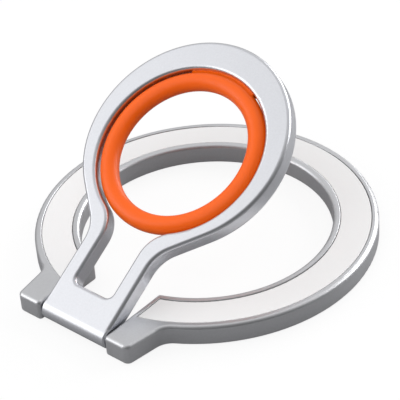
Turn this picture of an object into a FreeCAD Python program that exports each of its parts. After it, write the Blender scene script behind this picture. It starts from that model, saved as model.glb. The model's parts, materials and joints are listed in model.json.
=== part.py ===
import FreeCAD, Part
import math
import os
import re
import Sketcher

# Phone ring holder: a C-shaped magnetic base ring with two hinge lugs, a keyhole arm that folds flat into
# the base's bore, and a soft finger ring held in the arm's round opening.
# Frame: +Z up, hinge axis along X on the -Y side, origin under the middle of the footprint.
# The base is modelled about the ring's centre, the arm about its hinge axis, and both are then placed.

SIZES = [
    ("outer_radius", 29.2, "base ring, outside"),
    ("band_width", 7.7, "base ring, outside to bore"),
    ("top_height", 3.7, "top face above the resting plane"),
    ("pad_proud", 0.1, "rear pad stands proud of the frame's underside"),
    ("top_fillet", 0.65, "top edges of the frame"),
    ("bottom_fillet", 0.42, "bottom edges of the frame"),
    ("inner_rim", 1.23, "rim between bore and inlay"),
    ("outer_rim", 1.2, "rim between inlay and outside"),
    ("end_rim", 1.0, "rim between gap and inlay"),
    ("rim_edge", 0.12, "rims' edges towards the inlay"),
    ("hinge_overhang", 2.4, "base ring's outside to the hinge axis"),
    ("lug_nose", 1.95, "hinge axis to the lugs' front face"),
    ("lug_width", 4.85, "one lug at its front, along the hinge axis"),
    ("lug_flare", 1.15, "a lug is wider by this where it meets the ring"),
    ("lug_corner", 1.1, "outer front corner of a lug"),
    ("lug_blend", 3.3, "hollow corner between lug and ring"),
    ("gap_width", 14.1, "gap between the lugs"),
    ("gap_corner", 0.6, "upright corners of the gap"),
    ("inlay_thickness", 0.75, "top inlay"),
    ("inlay_sink", 0.06, "inlay lies below the rims"),
    ("inlay_clearance", 0.06, "inlay to recess wall"),
    ("inlay_edge", 0.12, "softened top edge of the inlay"),
    ("ledge", 0.5, "ledge that carries the inlay"),
    ("magnet_floor", 0.5, "frame between the rear pad and the magnets"),
    ("magnet_count", 14, "magnets round the channel"),
    ("magnet_space", 0.25, "space between two magnets"),
    ("magnet_clearance", 0.08, "magnet to channel wall"),
    ("shunt_thickness", 0.4, "steel shunt"),
    ("pad_thickness", 0.5, "rear pad"),
    ("pad_clearance", 0.08, "rear pad to recess wall"),
    ("hinge_height", 2.0, "hinge axis above the resting plane"),
    ("opening_angle", 32.1, "arm above flat, at rest"),
    ("side_clearance", 0.2, "crossbar end to lug"),
    ("arm_thickness", 3.2, "arm, front face to back face"),
    ("arm_fillet", 0.6, "edges of the arm"),
    ("fold_space", 3.05, "bore's radius less that of the arm's head"),
    ("head_shift", 2.15, "head's centre past the base ring's, with the arm folded"),
    ("shoulder_angle", 45.0, "slope of the shoulders"),
    ("shoulder_blend", 6.0, "hollow corner between leg and shoulder"),
    ("arm_width", 3.48, "head's radius less that of the opening"),
    ("opening_shift", 1.68, "opening's centre nearer the hinge than the head's"),
    ("leg_width", 2.9, "one leg"),
    ("neck_blend", 6.0, "rounded corner between slot and opening"),
    ("crossbar_web", 3.1, "barrel to the slot's end"),
    ("slot_corner", 1.2, "corners of the slot's end"),
    ("pin_radius", 0.75, "hinge pin"),
    ("pin_hold", 3.0, "pin inside each lug"),
    ("pin_chamfer", 0.15, "pin ends"),
    ("pin_end_space", 0.15, "pin end to the slot's end"),
    ("slot_play", 0.02, "pin to its slot in the lug"),
    ("clip_wall", 0.4, "rolled friction clip"),
    ("clip_length", 4.6, "one friction clip"),
    ("clip_slit", 0.5, "slit along the clip"),
    ("running_clearance", 0.03, "pin to clip and washer"),
    ("barrel_rounding", 0.4, "ends of the barrel"),
    ("washer_radius", 1.35, "thrust washer"),
    ("washer_thickness", 0.3, "thrust washer"),
    ("washer_play", 0.05, "washer to lug, and to its seat's wall"),
    ("keeper_inset", 0.75, "lug wall beside the keeper"),
    ("keeper_rim", 1.6, "base ring's outside to the keeper's back edge"),
    ("keeper_front", 0.7, "lug front wall before the keeper"),
    ("keeper_clearance", 0.05, "keeper to its pocket"),
    ("screw_head_radius", 1.0, "countersunk head"),
    ("screw_head_depth", 0.55, "countersunk head"),
    ("screw_radius", 0.5, "screw shank"),
    ("screw_length", 2.3, "whole screw"),
    ("recess_radius", 0.3, "driving recess of the screw"),
    ("recess_depth", 0.3, "driving recess of the screw"),
    ("ring_tube_radius", 1.58, "finger ring, section"),
    ("ring_space", 0.27, "finger ring to the opening's wall"),
    ("ring_shift", 0.1, "ring centre past the opening's centre"),
    ("web_angle", 52.0, "arc of the web that holds the ring"),
    ("web_thickness", 1.5, "web of the finger ring"),
    ("anchor_depth", 1.1, "web's anchor in the arm"),
    ("anchor_thickness", 2.0, "bead at the anchor's end"),
    ("anchor_length", 0.6, "bead, along the radius"),
]


class Size:
    """A number together with the document expression that gives it."""

    def __init__(self, value, text):
        self.value = float(value)
        self.text = text

    def _join(self, other, sign, value):
        return Size(value, f"({self.text} {sign} {as_size(other).text})")

    def __add__(self, other):
        return self._join(other, "+", self.value + as_size(other).value)

    def __sub__(self, other):
        return self._join(other, "-", self.value - as_size(other).value)

    def __mul__(self, other):
        return self._join(other, "*", self.value * as_size(other).value)

    def __truediv__(self, other):
        return self._join(other, "/", self.value / as_size(other).value)

    def __neg__(self):
        return Size(-self.value, f"(0 - {self.text})")


def as_size(number):
    return number if isinstance(number, Size) else Size(number, repr(float(number)))


def root(size):
    return Size(math.sqrt(size.value), f"sqrt({size.text})")


def cosine(angle):
    return Size(math.cos(math.radians(angle.value)), f"cos({angle.text})")


def sine(angle):
    return Size(math.sin(math.radians(angle.value)), f"sin({angle.text})")


def arc_sine(ratio):
    """The angle as a plain number of degrees."""
    return Size(math.degrees(math.asin(ratio.value)), f"(asin({ratio.text}) / (1 deg))")


def chord(radius, offset):
    """Half the chord of a circle at this distance from its centre."""
    return root(radius * radius - offset * offset)


doc = FreeCAD.newDocument("PhoneRingHolder")
sheet = doc.addObject("Spreadsheet::Sheet", "Sizes")
S = {}
for row, (alias, number, note) in enumerate(SIZES, start=1):
    sheet.set(f"A{row}", alias)
    sheet.set(f"B{row}", str(number))
    sheet.set(f"C{row}", note)
    sheet.setAlias(f"B{row}", alias)
    S[alias] = Size(number, f"Sizes.{alias}")
doc.recompute()


def bind(obj, prop, size):
    obj.setExpression(prop, as_size(size).text)


def new_body(name):
    body = doc.addObject("PartDesign::Body", re.sub(r"\W", "_", name))
    body.Label = name
    return body


def new_sketch(body, plane, height=None):
    """A sketch on one of the body's own origin planes, raised along the plane's normal."""
    sketch = body.newObject("Sketcher::SketchObject", f"{body.Label}_sketch")
    base = [f for f in body.Origin.OriginFeatures if f.Role == plane][0]
    sketch.AttachmentSupport = [(base, "")]
    sketch.MapMode = "FlatFace"
    if height is not None:
        bind(sketch, "AttachmentOffset.Base.z", height)
    return sketch


def constrain(sketch, kind, size, *place):
    index = sketch.addConstraint(Sketcher.Constraint(kind, *place, size.value))
    sketch.setExpression(f"Constraints[{index}]", size.text)


def pin_point(sketch, geo, vertex, x, y):
    constrain(sketch, "DistanceX", as_size(x), -1, 1, geo, vertex)
    constrain(sketch, "DistanceY", as_size(y), -1, 1, geo, vertex)


def add_circle(sketch, x, y, radius):
    centre = FreeCAD.Vector(as_size(x).value, as_size(y).value, 0)
    geo = sketch.addGeometry(Part.Circle(centre, FreeCAD.Vector(0, 0, 1), radius.value))
    pin_point(sketch, geo, 3, x, y)
    constrain(sketch, "Radius", radius, geo)


def add_loop(sketch, points, arcs=None):
    """A closed outline. arcs maps a side's number to (centre x, centre y, radius, goes anticlockwise)."""
    arcs = arcs or {}
    points = [(as_size(x), as_size(y)) for x, y in points]
    vectors = [FreeCAD.Vector(x.value, y.value, 0) for x, y in points]
    ends = []
    for side, start in enumerate(vectors):
        end = vectors[(side + 1) % len(vectors)]
        if side not in arcs:
            geo = sketch.addGeometry(Part.LineSegment(start, end))
            ends.append((geo, 1, 2))
            continue
        x, y, radius, anticlockwise = arcs[side]
        centre = FreeCAD.Vector(as_size(x).value, as_size(y).value, 0)
        first, last = (start, end) if anticlockwise else (end, start)
        angles = [math.atan2(p.y - centre.y, p.x - centre.x) for p in (first, last)]
        circle = Part.Circle(centre, FreeCAD.Vector(0, 0, 1), radius.value)
        geo = sketch.addGeometry(Part.ArcOfCircle(circle, *angles))
        ends.append((geo, 1, 2) if anticlockwise else (geo, 2, 1))
        constrain(sketch, "Radius", radius, geo)
    for side, (geo, start, end) in enumerate(ends):
        following = ends[(side + 1) % len(ends)]
        sketch.addConstraint(Sketcher.Constraint("Coincident", geo, end, following[0], following[1]))
        pin_point(sketch, geo, start, *points[side])


def add_rectangle(sketch, low_x, low_y, high_x, high_y):
    add_loop(sketch, [(low_x, low_y), (high_x, low_y), (high_x, high_y), (low_x, high_y)])


def add_sector(sketch, outer, inner, half_gap):
    """A C-shaped outline about the origin, open towards -Y, its two ends parallel to Y."""
    points = [
        (half_gap, -chord(outer, half_gap)),
        (-half_gap, -chord(outer, half_gap)),
        (-half_gap, -chord(inner, half_gap)),
        (half_gap, -chord(inner, half_gap)),
    ]
    add_loop(sketch, points, {0: (0, 0, outer, True), 2: (0, 0, inner, False)})


def finish(body, feature):
    doc.recompute()
    if not feature.isValid() or body.Shape.isNull():
        raise RuntimeError(f"{body.Label}: {feature.Name} failed")
    return feature


def pad(body, sketch, length, symmetric=False):
    feature = body.newObject("PartDesign::Pad", f"{body.Label}_pad")
    feature.Profile = sketch
    bind(feature, "Length", length)
    feature.Midplane = symmetric
    sketch.Visibility = False
    return finish(body, feature)


def cut_volume(body, feature, before):
    finish(body, feature)
    if body.Shape.Volume > before - 1e-6:
        raise RuntimeError(f"{body.Label}: {feature.Name} removes nothing")
    return feature


def pocket(body, sketch, length, upwards=False, symmetric=False):
    before = body.Shape.Volume
    feature = body.newObject("PartDesign::Pocket", f"{body.Label}_pocket")
    feature.Profile = sketch
    bind(feature, "Length", length)
    feature.Reversed = upwards
    feature.Midplane = symmetric
    return cut_volume(body, feature, before)


def turn(body, sketch, axis, angle=None, kind="Revolution"):
    """A turned feature about a sketch axis, whole, or a part turn centred on the sketch."""
    before = body.Shape.Volume if kind == "Groove" else 0
    feature = body.newObject(f"PartDesign::{kind}", f"{body.Label}_turn")
    feature.Profile = sketch
    feature.ReferenceAxis = (sketch, [axis])
    feature.Angle = 360
    if angle is not None:
        feature.Midplane = True
        bind(feature, "Angle", angle)
    return cut_volume(body, feature, before) if kind == "Groove" else finish(body, feature)


def dress(body, kind, size, test):
    """A fillet or chamfer on each edge of the body that passes the test."""
    names = [f"Edge{n}" for n, edge in enumerate(body.Shape.Edges, start=1) if test(edge)]
    if not names:
        raise RuntimeError(f"{body.Label}: no edge for {kind}")
    base = body.Tip
    feature = body.newObject(f"PartDesign::{kind}", f"{body.Label}_{kind.lower()}")
    feature.Base = (base, names)
    bind(feature, "Radius" if kind == "Fillet" else "Size", size)
    return finish(body, feature)


def near(a, b):
    return abs(a - b) < 1e-3


def level_edge(edge, height):
    """True for an edge that lies wholly at this height."""
    return all(near(v, height) for v in (edge.BoundBox.ZMin, edge.BoundBox.ZMax))


def upright_edge(edge, x, y):
    """True for a straight edge along Z through this point."""
    box = edge.BoundBox
    return near(box.XMin, x) and near(box.XMax, x) and near(box.YMin, y) and near(box.YMax, y)


# Shared places, all from the sizes above
underside = S["pad_proud"]
bore_radius = S["outer_radius"] - S["band_width"]
hinge_reach = S["outer_radius"] + S["hinge_overhang"]
lug_reach = hinge_reach + S["lug_nose"]
ring_y = (lug_reach - S["outer_radius"]) / 2
half_gap = S["gap_width"] / 2
half_width = half_gap - S["side_clearance"]
# The barrel comes down as far as the frame
barrel_radius = S["hinge_height"] - underside
# Seat of a thrust washer in the crossbar's end
washer_seat = half_gap - S["washer_play"] - S["washer_thickness"]
inlay_outer = S["outer_radius"] - S["outer_rim"]
inlay_inner = bore_radius + S["inner_rim"]
inlay_end = half_gap + S["end_rim"]
inlay_floor = S["top_height"] - S["inlay_sink"] - S["inlay_thickness"]
shunt_floor = inlay_floor - S["shunt_thickness"]
channel_floor = S["pad_thickness"] + S["magnet_floor"]
magnet_thickness = shunt_floor - channel_floor
channel_outer = inlay_outer - S["ledge"]
channel_inner = inlay_inner + S["ledge"]
channel_end = inlay_end + S["ledge"]
arm_radius = bore_radius - S["fold_space"]
opening_radius = arm_radius - S["arm_width"]
head_reach = hinge_reach + S["head_shift"]
opening_reach = head_reach - S["opening_shift"]
arm_middle = barrel_radius - S["arm_thickness"] / 2
ring_radius = opening_radius - S["ring_space"] - S["ring_tube_radius"]
ring_centre = opening_reach + S["ring_shift"]
pin_reach = half_gap + S["pin_hold"]
clip_inner = S["pin_radius"] + S["running_clearance"]
clip_outer = clip_inner + S["clip_wall"]
keeper_top = S["hinge_height"] - S["pin_radius"]
keeper_back = S["keeper_rim"] - S["outer_radius"]


def place_on_base(body):
    bind(body, "Placement.Base.y", ring_y)


def place_on_arm(body):
    body.Placement = FreeCAD.Placement(FreeCAD.Vector(), FreeCAD.Rotation(FreeCAD.Vector(1, 0, 0), 1))
    bind(body, "Placement.Base.y", ring_y - hinge_reach)
    bind(body, "Placement.Base.z", S["hinge_height"])
    bind(body, "Placement.Rotation.Angle", S["opening_angle"])


def make_base_frame():
    body = new_body("base_frame")
    height = S["top_height"] - underside
    lug_side = half_gap + S["lug_width"]
    lug_side_root = lug_side + S["lug_flare"]
    lug_root = chord(S["outer_radius"], lug_side_root)
    # Each lug's side runs on past the ring's outside by 1 in Y
    lug_side_end = lug_side_root + S["lug_flare"] / (lug_reach - lug_root)

    sketch = new_sketch(body, "XY_Plane", underside)
    add_circle(sketch, 0, 0, S["outer_radius"])
    pad(body, sketch, height)

    # The two lugs as one tongue, which the gap then parts
    sketch = new_sketch(body, "XY_Plane", underside)
    tongue = [
        (-lug_side, -lug_reach),
        (lug_side, -lug_reach),
        (lug_side_end, as_size(1) - lug_root),
        (lug_side_end, 0),
        (-lug_side_end, 0),
        (-lug_side_end, as_size(1) - lug_root),
    ]
    add_loop(sketch, tongue)
    pad(body, sketch, height)

    sketch = new_sketch(body, "XY_Plane", underside)
    add_circle(sketch, 0, 0, bore_radius)
    pocket(body, sketch, height, upwards=True)
    sketch = new_sketch(body, "XY_Plane", underside)
    add_rectangle(sketch, -half_gap, -lug_reach - 1, half_gap, 0)
    pocket(body, sketch, height, upwards=True)

    # Upright corners
    bore_y = -chord(bore_radius, half_gap).value
    corners = (
        ("lug_blend", lug_side_root.value, -lug_root.value),
        ("lug_corner", lug_side.value, -lug_reach.value),
        ("gap_corner", half_gap.value, bore_y),
        ("gap_corner", half_gap.value, -lug_reach.value),
    )
    for size, x, y in corners:
        dress(body, "Fillet", S[size], lambda e, x=x, y=y: upright_edge(e, x, y) or upright_edge(e, -x, y))

    # Level edges, top and bottom
    top, bottom = S["top_height"].value, underside.value
    dress(body, "Fillet", S["top_fillet"], lambda e: level_edge(e, top))
    dress(body, "Fillet", S["bottom_fillet"], lambda e: level_edge(e, bottom))

    # Top recess for the inlay, magnet channel below it, pad recess in the underside
    sketch = new_sketch(body, "XY_Plane", inlay_floor)
    add_sector(sketch, inlay_outer, inlay_inner, inlay_end)
    pocket(body, sketch, S["inlay_thickness"] + S["inlay_sink"], upwards=True)
    dress(body, "Fillet", S["rim_edge"], lambda e: level_edge(e, top) and beside_inlay(e))
    sketch = new_sketch(body, "XY_Plane", channel_floor)
    add_sector(sketch, channel_outer, channel_inner, channel_end)
    pocket(body, sketch, inlay_floor - channel_floor, upwards=True)
    sketch = new_sketch(body, "XY_Plane", underside)
    add_sector(sketch, inlay_outer, inlay_inner, inlay_end)
    pocket(body, sketch, S["pad_thickness"] - S["pad_proud"], upwards=True)

    # Pin slots open to the underside, keeper pockets and screw holes in both lugs
    slot_radius = S["pin_radius"] + S["slot_play"]
    slot_length = S["pin_hold"] + S["pin_end_space"]
    for side in (1, -1):
        sketch = new_sketch(body, "YZ_Plane", half_gap if side == 1 else -half_gap)
        slot = [
            (-hinge_reach - slot_radius, underside),
            (-hinge_reach + slot_radius, underside),
            (-hinge_reach + slot_radius, S["hinge_height"]),
            (-hinge_reach, S["hinge_height"] + slot_radius),
            (-hinge_reach - slot_radius, S["hinge_height"]),
        ]
        quarter = (-hinge_reach, S["hinge_height"], slot_radius, True)
        add_loop(sketch, slot, {2: quarter, 3: quarter})
        pocket(body, sketch, slot_length, upwards=side == 1)

        sketch = new_sketch(body, "XY_Plane", underside)
        low, high = keeper_span(side, S["keeper_clearance"])
        add_rectangle(sketch, low[0], low[1], high[0], high[1])
        pocket(body, sketch, keeper_top - underside, upwards=True)

        sketch = new_sketch(body, "XY_Plane", underside)
        add_circle(sketch, *screw_place(side), S["screw_radius"])
        pocket(body, sketch, S["screw_length"], upwards=True)
    place_on_base(body)
    return body


def beside_inlay(edge):
    """True for an edge between two corners of the recess."""
    return all(near(abs(v.X), inlay_end.value) for v in edge.Vertexes)


def keeper_span(side, clearance):
    """Corners of a keeper, or with a clearance of its pocket."""
    near_x = half_gap + S["keeper_inset"] - clearance
    far_x = half_gap + S["lug_width"] - S["keeper_inset"] + clearance
    front = S["keeper_front"] - lug_reach - clearance
    back = keeper_back + clearance
    if side == 1:
        return (near_x, front), (far_x, back)
    return (-far_x, front), (-near_x, back)


def screw_place(side):
    """In the middle of the lug, and halfway from the pin to the keeper's back edge."""
    x = half_gap + S["lug_width"] / 2
    return (x if side == 1 else -x), (S["pin_radius"] - hinge_reach + keeper_back) / 2


def make_top_inlay():
    body = new_body("top_inlay")
    sketch = new_sketch(body, "XY_Plane", inlay_floor)
    gap = S["inlay_clearance"]
    add_sector(sketch, inlay_outer - gap, inlay_inner + gap, inlay_end + gap)
    pad(body, sketch, S["inlay_thickness"])
    top = (inlay_floor + S["inlay_thickness"]).value
    dress(body, "Fillet", S["inlay_edge"], lambda e: level_edge(e, top))
    place_on_base(body)
    return body


def make_shunt_ring():
    # The shunt closes the magnets' field on the arm's side, so that they pull towards the rear
    body = new_body("shunt_ring")
    sketch = new_sketch(body, "XY_Plane", shunt_floor)
    gap = S["magnet_clearance"]
    add_sector(sketch, channel_outer - gap, channel_inner + gap, channel_end + gap)
    pad(body, sketch, S["shunt_thickness"])
    place_on_base(body)
    return body


def make_rear_pad():
    body = new_body("rear_pad")
    sketch = new_sketch(body, "XY_Plane")
    gap = S["pad_clearance"]
    add_sector(sketch, inlay_outer - gap, inlay_inner + gap, inlay_end + gap)
    pad(body, sketch, S["pad_thickness"])
    place_on_base(body)
    return body


def make_magnet(number):
    """One arc magnet: drawn about +Y and turned to its place in the row."""
    body = new_body(f"magnet_{number:02d}")
    outer = channel_outer - S["magnet_clearance"]
    inner = channel_inner + S["magnet_clearance"]
    # The row leaves out the gap: half its angle is taken where the channel's inner wall meets its end
    end_x = channel_end + S["magnet_space"] + S["magnet_clearance"]
    closed = arc_sine(end_x / inner)
    pitch = (as_size(360) - closed * 2) / S["magnet_count"]
    play = S["magnet_space"] / inner * (180 / math.pi)
    half = (pitch - play) / 2
    sketch = new_sketch(body, "XY_Plane", channel_floor)
    points = [
        (outer * sine(half), outer * cosine(half)),
        (-(outer * sine(half)), outer * cosine(half)),
        (-(inner * sine(half)), inner * cosine(half)),
        (inner * sine(half), inner * cosine(half)),
    ]
    add_loop(sketch, points, {0: (0, 0, outer, True), 2: (0, 0, inner, False)})
    pad(body, sketch, magnet_thickness)
    place_on_base(body)
    # The first magnet stands just past the gap, and each next one a pitch further on
    start = as_size(180) + closed + pitch / 2
    bind(body, "Placement.Rotation.Angle", start + pitch * (number - 1))
    return body


def make_arm_frame():
    body = new_body("arm_frame")
    back = barrel_radius - S["arm_thickness"]
    front = barrel_radius.value
    lean = S["shoulder_angle"]
    touch_x = arm_radius * cosine(lean)
    touch_y = head_reach - arm_radius * sine(lean)
    shoulder_y = touch_y - (touch_x - half_width) * cosine(lean) / sine(lean)

    # Head, then legs and shoulders, whose slope runs into the head
    sketch = new_sketch(body, "XY_Plane", back)
    add_circle(sketch, 0, head_reach, arm_radius)
    pad(body, sketch, S["arm_thickness"])
    sketch = new_sketch(body, "XY_Plane", back)
    outline = [
        (-half_width, 0),
        (half_width, 0),
        (half_width, shoulder_y),
        (touch_x, touch_y),
        (touch_x - 1, head_reach),
        (as_size(1) - touch_x, head_reach),
        (-touch_x, touch_y),
        (-half_width, shoulder_y),
    ]
    add_loop(sketch, outline)
    pad(body, sketch, S["arm_thickness"])

    # Keyhole: the round opening and the slot between the legs
    half_neck = half_width - S["leg_width"]
    slot_end = barrel_radius + S["crossbar_web"]
    sketch = new_sketch(body, "XY_Plane", back)
    add_circle(sketch, 0, opening_reach, opening_radius)
    pocket(body, sketch, S["arm_thickness"], upwards=True)
    sketch = new_sketch(body, "XY_Plane", back)
    add_rectangle(sketch, -half_neck, slot_end, half_neck, opening_reach)
    pocket(body, sketch, S["arm_thickness"], upwards=True)

    neck_y = (opening_reach - chord(opening_radius, half_neck)).value
    corners = (
        ("shoulder_blend", half_width.value, shoulder_y.value),
        ("neck_blend", half_neck.value, neck_y),
        ("slot_corner", half_neck.value, slot_end.value),
    )
    for size, x, y in corners:
        dress(body, "Fillet", S[size], lambda e, x=x, y=y: upright_edge(e, x, y) or upright_edge(e, -x, y))

    # Front and back edges, all but the ends that run into the barrel
    faces = (front, back.value)
    dress(body, "Fillet", S["arm_fillet"],
          lambda e: any(level_edge(e, z) for z in faces) and e.BoundBox.YMax > 0.01)

    # Hinge barrel with rounded ends, in line with the front face
    rounding = S["barrel_rounding"]
    barrel = barrel_radius
    sketch = new_sketch(body, "XY_Plane")
    profile = [
        (-half_width, 0),
        (half_width, 0),
        (half_width, barrel - rounding),
        (half_width - rounding, barrel),
        (rounding - half_width, barrel),
        (-half_width, barrel - rounding),
    ]
    corner_arcs = {
        2: (half_width - rounding, barrel - rounding, rounding, True),
        4: (rounding - half_width, barrel - rounding, rounding, True),
    }
    add_loop(sketch, profile, corner_arcs)
    turn(body, sketch, "H_Axis")

    # Bore through the crossbar for the clips and the pin
    sketch = new_sketch(body, "YZ_Plane")
    add_circle(sketch, 0, 0, clip_outer)
    pocket(body, sketch, half_width * 2, symmetric=True)

    # Seats of the thrust washers in the crossbar's ends
    for side in (1, -1):
        sketch = new_sketch(body, "YZ_Plane", washer_seat if side == 1 else -washer_seat)
        add_circle(sketch, 0, 0, S["washer_radius"] + S["washer_play"])
        pocket(body, sketch, half_width - washer_seat, upwards=side == 1)

    # Slot in the head for the finger ring's anchor
    sketch = anchor_sketch(body, opening_radius - 1)
    turn(body, sketch, "Axis0", S["web_angle"], kind="Groove")
    place_on_arm(body)
    return body


def anchor_sketch(body, inner):
    """Section of web and anchor bead in the arm's middle plane, with the opening's axis as its line."""
    sketch = new_sketch(body, "YZ_Plane")
    axis = Part.LineSegment(FreeCAD.Vector(0, 0, 0), FreeCAD.Vector(0, 5, 0))
    geo = sketch.addGeometry(axis, True)
    pin_point(sketch, geo, 1, opening_reach, 0)
    pin_point(sketch, geo, 2, opening_reach, 5)
    wall = opening_reach + opening_radius
    low = arm_middle - S["web_thickness"] / 2
    high = arm_middle + S["web_thickness"] / 2
    bead_low = arm_middle - S["anchor_thickness"] / 2
    bead_high = arm_middle + S["anchor_thickness"] / 2
    tip = wall + S["anchor_depth"]
    neck = tip - S["anchor_length"]
    start = opening_reach + inner
    outline = [
        (start, low), (neck, low), (neck, bead_low), (tip, bead_low),
        (tip, bead_high), (neck, bead_high), (neck, high), (start, high),
    ]
    add_loop(sketch, outline)
    return sketch


def make_finger_ring():
    body = new_body("finger_ring")
    sketch = new_sketch(body, "YZ_Plane")
    axis = Part.LineSegment(FreeCAD.Vector(0, 0, 0), FreeCAD.Vector(0, 5, 0))
    geo = sketch.addGeometry(axis, True)
    pin_point(sketch, geo, 1, ring_centre, 0)
    pin_point(sketch, geo, 2, ring_centre, 5)
    add_circle(sketch, ring_centre + ring_radius, arm_middle, S["ring_tube_radius"])
    turn(body, sketch, "Axis0")
    sketch = anchor_sketch(body, ring_radius + S["ring_shift"])
    turn(body, sketch, "Axis0", S["web_angle"])
    place_on_arm(body)
    return body


def make_hinge_pin():
    body = new_body("hinge_pin")
    sketch = new_sketch(body, "YZ_Plane")
    add_circle(sketch, -hinge_reach, S["hinge_height"], S["pin_radius"])
    pad(body, sketch, pin_reach * 2, symmetric=True)
    reach = pin_reach.value
    dress(body, "Chamfer", S["pin_chamfer"], lambda e: near(abs(e.BoundBox.Center.x), reach))
    place_on_base(body)
    return body


def make_friction_clip(name, side):
    body = new_body(name)
    start = washer_seat - S["clip_length"]
    sketch = new_sketch(body, "YZ_Plane", start if side == 1 else -washer_seat)
    add_sector(sketch, clip_outer, clip_inner, S["clip_slit"] / 2)
    pad(body, sketch, S["clip_length"])
    place_on_arm(body)
    return body


def make_thrust_washer(name, side):
    body = new_body(name)
    sketch = new_sketch(body, "YZ_Plane", washer_seat if side == 1 else -washer_seat - S["washer_thickness"])
    add_circle(sketch, 0, 0, S["washer_radius"])
    add_circle(sketch, 0, 0, clip_inner)
    pad(body, sketch, S["washer_thickness"])
    place_on_arm(body)
    return body


def make_keeper(name, side):
    body = new_body(name)
    sketch = new_sketch(body, "XY_Plane", underside)
    low, high = keeper_span(side, as_size(0))
    add_rectangle(sketch, low[0], low[1], high[0], high[1])
    pad(body, sketch, keeper_top - underside)
    sketch = new_sketch(body, "XY_Plane", underside)
    add_circle(sketch, *screw_place(side), S["screw_radius"])
    pocket(body, sketch, keeper_top, upwards=True)
    # Countersink: the hole's lower rim opened to the head's cone
    rim = [near_rim(side)]
    dress_countersink(body, rim)
    place_on_base(body)
    return body


def near_rim(side):
    x, y = screw_place(side)
    return FreeCAD.Vector(x.value, y.value, underside.value)


def dress_countersink(body, centres):
    names = []
    for n, edge in enumerate(body.Shape.Edges, start=1):
        round_edge = hasattr(edge.Curve, "Center") and level_edge(edge, underside.value)
        if round_edge and any(edge.Curve.Center.distanceToPoint(c) < 0.01 for c in centres):
            names.append(f"Edge{n}")
    base = body.Tip
    feature = body.newObject("PartDesign::Chamfer", f"{body.Label}_countersink")
    feature.Base = (base, names)
    feature.ChamferType = "Two distances"
    bind(feature, "Size", S["screw_head_radius"] - S["screw_radius"])
    bind(feature, "Size2", S["screw_head_depth"])
    finish(body, feature)
    # The flat face must take the head's radius and the hole its depth
    rims = [e.Curve.Radius for e in body.Shape.Edges
            if hasattr(e.Curve, "Radius") and level_edge(e, underside.value)]
    if not any(near(r, S["screw_head_radius"].value) for r in rims):
        feature.FlipDirection = True
        finish(body, feature)


def make_keeper_screws():
    """Both screws as one node: a turned screw with a driving recess, and its mirror image."""
    body = new_body("keeper_screw")
    x, y = screw_place(1)
    sketch = new_sketch(body, "XZ_Plane")
    profile = [
        (0, 0),
        (S["screw_head_radius"], 0),
        (S["screw_radius"], S["screw_head_depth"]),
        (S["screw_radius"], S["screw_length"]),
        (0, S["screw_length"]),
    ]
    add_loop(sketch, profile)
    turn(body, sketch, "V_Axis")
    sketch = new_sketch(body, "XY_Plane")
    corners = []
    for step in range(6):
        angle = math.radians(60 * step)
        corners.append((S["recess_radius"] * math.cos(angle), S["recess_radius"] * math.sin(angle)))
    add_loop(sketch, corners)
    pocket(body, sketch, S["recess_depth"], upwards=True)
    bind(body, "Placement.Base.x", x)
    bind(body, "Placement.Base.y", y + ring_y)
    bind(body, "Placement.Base.z", underside)
    twin = doc.addObject("Part::Mirroring", "keeper_screw_twin")
    twin.Source = body
    twin.Normal = FreeCAD.Vector(1, 0, 0)
    both = doc.addObject("Part::Compound", "keeper_screws")
    both.Links = [body, twin]
    both.Label = "keeper_screws"
    doc.recompute()
    return both


nodes = [make_base_frame(), make_top_inlay(), make_shunt_ring(), make_rear_pad()]
for magnet_number in range(1, int(S["magnet_count"].value) + 1):
    nodes.append(make_magnet(magnet_number))
nodes += [make_arm_frame(), make_finger_ring(), make_hinge_pin()]
for word, side in (("left", -1), ("right", 1)):
    nodes.append(make_friction_clip(f"friction_clip_{word}", side))
    nodes.append(make_thrust_washer(f"thrust_washer_{word}", side))
    nodes.append(make_keeper(f"keeper_{word}", side))
nodes.append(make_keeper_screws())

doc.recompute()
for item in doc.Objects:
    if "Invalid" in item.State or "Error" in item.State:
        raise RuntimeError(f"{item.Label} is {item.State}")
for node in nodes:
    if node.Shape.isNull() or not node.Shape.isValid():
        raise RuntimeError(f"{node.Label} has no valid shape")

os.makedirs("parts", exist_ok=True)
for node in nodes:
    node.Shape.exportStep(f"parts/{node.Label}.step")
print(f"{len(nodes)} nodes written")
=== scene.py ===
import bmesh
import bpy
import json
import math
from mathutils import Matrix, Vector


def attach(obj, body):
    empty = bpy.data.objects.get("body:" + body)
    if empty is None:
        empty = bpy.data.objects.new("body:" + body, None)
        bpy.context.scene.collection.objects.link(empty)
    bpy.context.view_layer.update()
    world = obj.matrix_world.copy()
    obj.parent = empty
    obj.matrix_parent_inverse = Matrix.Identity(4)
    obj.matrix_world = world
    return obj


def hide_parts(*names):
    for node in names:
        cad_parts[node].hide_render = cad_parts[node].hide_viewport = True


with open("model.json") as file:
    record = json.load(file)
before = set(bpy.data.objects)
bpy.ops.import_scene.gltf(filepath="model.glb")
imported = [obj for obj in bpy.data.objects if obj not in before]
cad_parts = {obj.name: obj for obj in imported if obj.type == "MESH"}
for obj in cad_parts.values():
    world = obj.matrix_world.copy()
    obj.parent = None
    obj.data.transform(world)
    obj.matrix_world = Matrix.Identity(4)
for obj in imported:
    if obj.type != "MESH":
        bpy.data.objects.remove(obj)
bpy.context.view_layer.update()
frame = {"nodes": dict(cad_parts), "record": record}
nodes = frame["nodes"]
hinge = Vector(frame["record"]["behaviour"]["joints"][0]["pos_m"])
print("frame loaded:", len(nodes), "nodes")

mm = 0.001


def turn(angle, axis):
    return Matrix.Rotation(math.radians(angle), 4, axis)


def shift(x, y, z):
    return Matrix.Translation((x * mm, y * mm, z * mm))


# camera: the photograph's view, found by fitting the ring's circles

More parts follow.
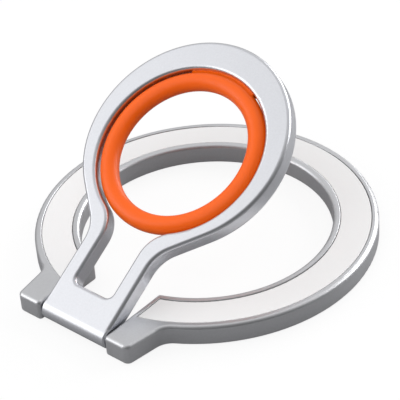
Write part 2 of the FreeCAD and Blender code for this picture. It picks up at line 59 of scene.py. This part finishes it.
camera = {
    "azimuth": 42.53,
    "elevation": 35.46,
    "roll": -4.50,
    "place": (156.16, -169.27, 172.41),  # mm
    "lens": 152.19,
}
lens = bpy.data.cameras.new("camera")
lens.lens = camera["lens"]
lens.clip_start = 0.01
lens.clip_end = 20
eye = bpy.data.objects.new("camera", lens)
bpy.context.collection.objects.link(eye)
aim = turn(camera["azimuth"], "Z") @ turn(90 - camera["elevation"], "X") @ turn(camera["roll"], "Z")
eye.matrix_world = shift(*camera["place"]) @ aim
bpy.context.scene.camera = eye


# shader maths


class Wire:
    # an output socket; its arithmetic adds Math nodes
    def __init__(self, surface, socket):
        self.surface = surface
        self.socket = socket

    def math(self, operation, *others, clamp=False):
        settings = {"operation": operation, "use_clamp": clamp}
        return self.surface.node("ShaderNodeMath", settings, dict(enumerate((self, *others))))

    def __add__(self, other):
        return self.math("ADD", other)

    def __sub__(self, other):
        return self.math("SUBTRACT", other)

    def __mul__(self, other):
        return self.math("MULTIPLY", other)

    def __rsub__(self, other):
        return self.surface.node("ShaderNodeMath", {"operation": "SUBTRACT"}, {0: other, 1: self})

    __radd__ = __add__
    __rmul__ = __mul__

    def between(self, low, high, start=0.0, end=1.0):
        # start below low, end above high, smooth in between
        settings = {"interpolation_type": "SMOOTHSTEP"}
        inputs = {0: self, 1: low, 2: high, 3: start, 4: end}
        return self.surface.node("ShaderNodeMapRange", settings, inputs)


class Surface:
    # the nodes of a material or of the world
    def __init__(self, owner, shaderName="Principled BSDF", **constants):
        self.owner = owner
        owner.use_nodes = True
        self.tree = owner.node_tree
        self.shader = self.tree.nodes[shaderName]
        for socket, value in constants.items():
            self.feed(self.shader.inputs[socket.replace("_", " ")], value)

    def node(self, kind, settings=None, inputs=None, output=0):
        made = self.tree.nodes.new(kind)
        for key, value in (settings or {}).items():
            setattr(made, key, value)
        for key, value in (inputs or {}).items():
            self.feed(made.inputs[key], value)
        return Wire(self, made.outputs[output])

    def feed(self, socket, value):
        if isinstance(value, Wire):
            self.tree.links.new(value.socket, socket)
        elif isinstance(value, tuple) and len(value) == 3 and socket.type == "RGBA":
            socket.default_value = (*value, 1)
        else:
            socket.default_value = value

    def place(self):
        return self.node("ShaderNodeTexCoord", output="Object")

    def split(self, vector):
        parts = self.node("ShaderNodeSeparateXYZ", {}, {0: vector})
        return [Wire(self, out) for out in parts.socket.node.outputs]

    def along(self, vector, direction):
        # how far the vector reaches in this direction
        settings = {"operation": "DOT_PRODUCT"}
        return self.node("ShaderNodeVectorMath", settings, {0: vector, 1: direction}, output="Value")

    def noise(self, scale, detail=2.0, roughness=0.5):
        inputs = {"Vector": self.place(), "Scale": scale, "Detail": detail, "Roughness": roughness}
        return self.node("ShaderNodeTexNoise", {}, inputs)

    def blend(self, factor, first, second):
        settings = {"data_type": "RGBA"}
        return self.node("ShaderNodeMix", settings, {0: factor, 6: first, 7: second}, output=2)

    def bump(self, height, distance, under=None):
        inputs = {"Height": height, "Distance": distance}
        if under:
            inputs["Normal"] = under
        return self.node("ShaderNodeBump", {}, inputs)

    def finish(self, **links):
        for socket, value in links.items():
            self.feed(self.shader.inputs[socket.replace("_", " ")], value)
        return self.owner


def newSurface(name, **constants):
    return Surface(bpy.data.materials.new(name), **constants)


def wear(piece, material):
    for slot in piece.material_slots:
        slot.material = material
    if not piece.material_slots:
        piece.data.materials.append(material)


def tones(colour, darker, lighter):
    return tuple(c * darker for c in colour), tuple(c * lighter for c in colour)


def addPiece(name, bm):
    mesh = bpy.data.meshes.new(name)
    bmesh.ops.recalc_face_normals(bm, faces=bm.faces[:])
    bm.to_mesh(mesh)
    bm.free()
    mesh.shade_smooth()
    piece = bpy.data.objects.new(name, mesh)
    bpy.context.collection.objects.link(piece)
    return piece


def soften(bm, edges, width, segments):
    bmesh.ops.bevel(
        bm, geom=edges, offset=width * mm, offset_type="OFFSET", segments=segments,
        profile=0.5, affect="EDGES", material=-1,
    )


# metal: cast, bead blasted and anodised silver

metal = {
    "frameColour": (0.68, 0.685, 0.705),
    "armColour": (0.70, 0.71, 0.745),
    "frameRoughness": 0.38,
    "armRoughness": 0.30,
    "blasting": 9500,  # grains, per metre
    "grainHeight": 0.000003,
    "speck": 3100,  # uneven grey of the blasted skin
    "cloud": 95,
    "handling": 420,
}


# seam round the inlay: painted shade along the inlay's seat, on the frame and on the inlay, where the
# seat stays in shadow

ringMiddle = 2.175  # middle of the base ring, from the footprint's middle

seat = {
    "outer": 28.0,
    "inner": 22.73,
    "end": 8.05,  # each side of the gap's middle
    "front": -11,  # the ends lie before this
    "frontFade": 1,
    "margin": 0.1,
    "fade": (0.04, 0.11),  # the seam's half width, and where it ends
    "depth": 0.25,  # how dark the painted shade is on the metal
    # how dark the painted shade is on the inlay, then the painted shade's colours on the metal and on
    # the inlay
    "inlayShadeDepth": 0.2,
    "dark": (0.05, 0.05, 0.05),
    "inlayDark": (0.20, 0.20, 0.20),
}


def seamShade(surface):
    # mask of the painted shade: 1 on the seam, 0 away from it
    x, y = surface.split(surface.place())[:2]
    ahead = y - ringMiddle * mm
    radius = (x * x + ahead * ahead).math("SQRT")
    side = x.math("ABSOLUTE")
    outer, inner, end = seat["outer"], seat["inner"], seat["end"]
    front, margin = seat["front"], seat["margin"]

    def near(value, size):
        first, last = seat["fade"]
        return (value - size * mm).math("ABSOLUTE").between(first * mm, last * mm, 1.0, 0.0)

    rear = y.between((front - seat["frontFade"]) * mm, front * mm)
    beside = side.between((end - margin / 2) * mm, end * mm)
    rings = near(radius, outer).math("MAXIMUM", near(radius, inner))
    within = radius.between((inner - margin) * mm, inner * mm)
    within = within * radius.between(outer * mm, (outer + margin) * mm, 1.0, 0.0)
    ends = near(side, end) * within * (1 - rear)
    return (rings * rear.math("MAXIMUM", beside)).math("MAXIMUM", ends)


def metalSurface(name, colour, roughness, seam=0.0):
    surface = newSurface(name, Metallic=1.0)
    grain = surface.noise(metal["blasting"], 3, 0.6)
    speck = surface.noise(metal["speck"], 2, 0.7)
    cloud = surface.noise(metal["cloud"], 2)
    handling = surface.noise(metal["handling"], 4, 0.6)
    shade = surface.blend(cloud * 0.3 + speck * 0.7, *tones(colour, 0.90, 1.09))
    # painted shade: the colour goes dark along the inlay's seam, and seam sets how strongly
    if seam:
        shade = surface.blend(seamShade(surface) * seam, shade, seat["dark"])
    rough = roughness + (grain - 0.5) * 0.10 + (cloud - 0.5) * 0.05 + (handling - 0.5) * 0.04
    relief = surface.bump(grain, metal["grainHeight"])
    return surface.finish(Base_Color=shade, Roughness=rough, Normal=relief)


frameMetal = metalSurface("frame metal", metal["frameColour"], metal["frameRoughness"], seat["depth"])
armMetal = metalSurface("arm metal", metal["armColour"], metal["armRoughness"])
wear(nodes["base_frame"], frameMetal)
wear(nodes["arm_frame"], armMetal)
print("metal done")


# inlay: matt off-white coat on a thin plate

inlay = {
    "colour": (0.81, 0.805, 0.806),
    "roughness": 0.42,
    "fleck": 5200,
    "fleckHeight": 0.000003,
    "cloud": 70,
}
surface = newSurface("inlay coat")
fleck = surface.noise(inlay["fleck"], 2)
cloud = surface.noise(inlay["cloud"], 2)
tone = surface.blend(cloud, *tones(inlay["colour"], 0.985, 1.005))
# painted shade along the seam at the inlay's edge
tone = surface.blend(seamShade(surface) * seat["inlayShadeDepth"], tone, seat["inlayDark"])
rough = inlay["roughness"] + (fleck - 0.5) * 0.10 + (cloud - 0.5) * 0.05
surface.finish(Base_Color=tone, Roughness=rough, Normal=surface.bump(fleck, inlay["fleckHeight"]))
wear(nodes["top_inlay"], surface.owner)
print("inlay done")


# finger ring: orange silicone, moulded in one with its web

ring = {
    "reach": 32.17,  # hinge axis to the ring's middle
    "middle": 0.3,  # above the hinge axis, square to the arm
    "radius": 13.12,
    "tube": 1.58,
    "webReach": 15.6,  # into the arm's slot
    "webAngle": 26,  # each side
    "opening": 32.1,  # arm above flat
    "colour": (0.98, 0.132, 0.002),
    "roughness": 0.36,
    "skin": 3800,
    "skinHeight": 0.000004,
    "cloud": 150,
    "seam": (0.01, 0.04),  # the mould's parting line, half its width and where it ends
    "seamHeight": 0.01,
    "footRadius": 0.16,
}
armPlace = Matrix.Translation(hinge) @ turn(ring["opening"], "X")
bm = bmesh.new()
tubePlace = shift(ring["radius"], 0, 0) @ turn(90, "X")
bmesh.ops.create_circle(bm, segments=36, radius=ring["tube"] * mm, matrix=tubePlace)
bmesh.ops.spin(
    bm, geom=bm.verts[:] + bm.edges[:], cent=(0, 0, 0), axis=(0, 0, 1),
    angle=math.tau, steps=180, use_merge=True,
)
bmesh.ops.recalc_face_normals(bm, faces=bm.faces[:])


def onWeb(place):
    across = math.degrees(math.atan2(place.x, place.y))
    outside = place.xy.length > ring["radius"] * mm
    return outside and abs(across) < ring["webAngle"] + 0.1 and abs(place.z) < ring["tube"] * 0.501 * mm


root = [f for f in bm.faces if onWeb(f.calc_center_median())]
web = bmesh.ops.extrude_face_region(bm, geom=root)["geom"]
webVerts = [v for v in web if isinstance(v, bmesh.types.BMVert)]
grow = ring["webReach"] / (ring["radius"] + ring["tube"])
bmesh.ops.scale(bm, vec=(grow, grow, 1), verts=webVerts)
moved = set(webVerts)


def atFoot(edge):
    besideWeb = any(len({v in moved for v in f.verts}) == 2 for f in edge.link_faces)
    onRing = not any(v in moved for v in edge.verts)
    return besideWeb and onRing and onWeb((edge.verts[0].co + edge.verts[1].co) / 2)


soften(bm, [e for e in bm.edges if atFoot(e)], ring["footRadius"], 3)
bmesh.ops.transform(bm, matrix=armPlace @ shift(0, ring["reach"], ring["middle"]), verts=bm.verts)
fingerRing = addPiece("soft_ring", bm)
smooth = fingerRing.modifiers.new("smooth", "SUBSURF")
smooth.levels = 1
smooth.render_levels = 1
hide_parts("finger_ring")
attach(fingerRing, "arm")

surface = newSurface("orange silicone", Specular_IOR_Level=0.38)
skin = surface.noise(ring["skin"], 3)
cloud = surface.noise(ring["cloud"], 2)
square = armPlace.to_3x3() @ Vector((0, 0, 1))
centre = armPlace @ Vector((0, ring["reach"] * mm, ring["middle"] * mm))
level = surface.along(surface.place(), tuple(square))
first, last = ring["seam"]
seam = (level - square.dot(centre)).math("ABSOLUTE").between(first * mm, last * mm, 1.0, 0.0)
tone = surface.blend(cloud, *tones(ring["colour"], 0.96, 1.0))
rough = ring["roughness"] + (skin - 0.5) * 0.12 + (cloud - 0.5) * 0.08
relief = surface.bump(seam, ring["seamHeight"] * mm, surface.bump(skin, ring["skinHeight"]))
surface.finish(Base_Color=tone, Roughness=rough, Normal=relief)
wear(fingerRing, surface.owner)
print("finger ring done")


# rear pad: grey silicone, in the frame's underside

pad = {
    "outer": 27.92,
    "inner": 22.81,
    "end": 8.13,  # from the middle of the gap
    "height": 0.5,
    "edge": 0.12,
    "colour": (0.34, 0.35, 0.37),
    "roughness": 0.62,
    "skin": 6000,
    "skinHeight": 0.000006,
    "cloud": 110,
}
bm = bmesh.new()
section = (
    (pad["inner"], 0), (pad["outer"], 0), (pad["outer"], pad["height"]), (pad["inner"], pad["height"]),
)
corners = [bm.verts.new((x * mm, 0, z * mm)) for x, z in section]
for one, two in zip(corners, corners[1:] + corners[:1]):
    bm.edges.new((one, two))
bmesh.ops.spin(
    bm, geom=bm.verts[:] + bm.edges[:], cent=(0, 0, 0), axis=(0, 0, 1),
    angle=math.tau, steps=240, use_merge=True,
)
for side in (-1, 1):
    front = [f for f in bm.faces if f.calc_center_median().y < 0]
    near = front + list({e for f in front for e in f.edges} | {v for f in front for v in f.verts})
    bmesh.ops.bisect_plane(bm, geom=near, plane_co=(side * pad["end"] * mm, 0, 0), plane_no=(1, 0, 0))


def inGap(place):
    return place.y < 0 and abs(place.x) < pad["end"] * mm


gap = [f for f in bm.faces if inGap(f.calc_center_median())]
bmesh.ops.delete(bm, geom=gap, context="FACES")
bmesh.ops.holes_fill(bm, edges=[e for e in bm.edges if e.is_boundary])
bmesh.ops.recalc_face_normals(bm, faces=bm.faces[:])
lower = [e for e in bm.edges if all(abs(v.co.z) < 1e-6 for v in e.verts) and e.calc_face_angle(0) > 1]
soften(bm, lower, pad["edge"], 3)
bmesh.ops.translate(bm, vec=(0, ringMiddle * mm, 0), verts=bm.verts)
rearPad = addPiece("grip_pad", bm)
rearPad.data.shade_flat()
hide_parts("rear_pad")
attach(rearPad, "base")

surface = newSurface("grey silicone")
skin = surface.noise(pad["skin"], 3)
cloud = surface.noise(pad["cloud"], 3)
tone = surface.blend(cloud, *tones(pad["colour"], 0.94, 1.04))
rough = pad["roughness"] + (skin - 0.5) * 0.15
surface.finish(Base_Color=tone, Roughness=rough, Normal=surface.bump(skin, pad["skinHeight"]))
wear(rearPad, surface.owner)
print("rear pad done")


# fittings: steel, nickel and plastic pieces inside the hinge and the ring


def fittingSurface(name, colour, metallic, roughness, grain):
    surface = newSurface(name, Metallic=metallic)
    scratch = surface.noise(grain, 3, 0.6)
    cloud = surface.noise(350, 2)
    shade = surface.blend(cloud, *tones(colour, 0.93, 1.04))
    rough = roughness + (scratch - 0.5) * 0.16 + (cloud - 0.5) * 0.08
    return surface.finish(Base_Color=shade, Roughness=rough, Normal=surface.bump(scratch, 0.000002))


steel = fittingSurface("pin steel", (0.60, 0.60, 0.62), 1.0, 0.28, 7000)
nickel = fittingSurface("magnet nickel", (0.70, 0.68, 0.64), 1.0, 0.22, 5000)
washer = fittingSurface("washer plastic", (0.03, 0.03, 0.032), 0.0, 0.5, 6000)
for name, node in nodes.items():
    if name.startswith(("hinge_pin", "keeper", "friction_clip", "shunt")):
        wear(node, steel)
    if name.startswith("magnet"):
        wear(node, nickel)
    if name.startswith("thrust_washer"):
        wear(node, washer)
print("fittings done")


# studio: pale floor, a dim room and soft lamps before, behind and above the object

studio = {
    "floorGrey": (0.22, 0.22, 0.225),
    "floorWhite": (0.95, 0.95, 0.95),
    "white": 0.86,  # share of plain white that the camera sees on the floor
    "whiteInMetal": 0.06,
    "room": 0.76,
    "horizon": 0.26,
    "roomDark": 0.26,  # its share on the camera's own side
    "darkSide": (0.80, -0.57, 0.17),
    "floorDrop": 0.02,  # mm, clear of the pad
    "lampDistance": 0.9,
}
bm = bmesh.new()
bmesh.ops.create_grid(bm, x_segments=1, y_segments=1, size=1.5)
floor = addPiece("floor", bm)
surface = newSurface("floor", Roughness=0.5, Specular_IOR_Level=0.8)
seen = surface.node("ShaderNodeLightPath", output="Is Camera Ray")
inMetal = surface.node("ShaderNodeLightPath", output="Is Glossy Ray")
surface.finish(Base_Color=surface.blend(seen, studio["floorGrey"], studio["floorWhite"]))
glow = surface.node("ShaderNodeEmission", {}, {"Color": (1.0, 1.0, 1.0), "Strength": 1.0})
lit = Wire(surface, surface.shader.outputs[0])
share = seen * studio["white"] + inMetal * studio["whiteInMetal"]
mixed = surface.node("ShaderNodeMixShader", {}, {0: share, 1: lit, 2: glow})
surface.feed(surface.tree.nodes["Material Output"].inputs[0], mixed)
wear(floor, surface.owner)
floor.location.z = -studio["floorDrop"] * mm

room = bpy.data.worlds.new("studio")
bpy.context.scene.world = room
surface = Surface(room, "Background")
direction = surface.node("ShaderNodeTexCoord", output="Generated")
towards = surface.along(direction, studio["darkSide"])
seen = surface.node("ShaderNodeLightPath", output="Is Camera Ray")
height = surface.split(direction)[2]
walls = height.between(0.0, 0.5, studio["horizon"], studio["room"])
shade = towards.between(-0.1, 0.9, 1.0, studio["roomDark"])
glow = walls * shade
surface.finish(Color=(1.0, 1.0, 1.0), Strength=glow * (1 - seen) + seen)


def softbox(name, azimuth, elevation, size, brightness):
    # a lamp that looks at the object's middle; brightness is against plain white
    light = bpy.data.lights.new(name, "AREA")
    light.shape = "RECTANGLE"
    light.size, light.size_y = size
    light.energy = brightness * math.pi * size[0] * size[1]
    lamp = bpy.data.objects.new(name, light)
    bpy.context.collection.objects.link(lamp)
    look = turn(azimuth, "Z") @ turn(90 - elevation, "X")
    lamp.matrix_world = shift(0, 0, 10) @ look @ Matrix.Translation((0, 0, studio["lampDistance"]))
    return lamp


softbox("front", -48, 17, (0.60, 0.56), 1.5)
softbox("back", 166, 23, (0.96, 0.50), 3.6)
softbox("above", -52, 42, (0.85, 0.60), 0.48)
fill = softbox("fill", 20, 48, (0.90, 0.90), 1.66)
fill.visible_glossy = False  # fills, and leaves the edges their dark lines
print("studio done")

scene = bpy.context.scene
scene.view_settings.view_transform = "Standard"
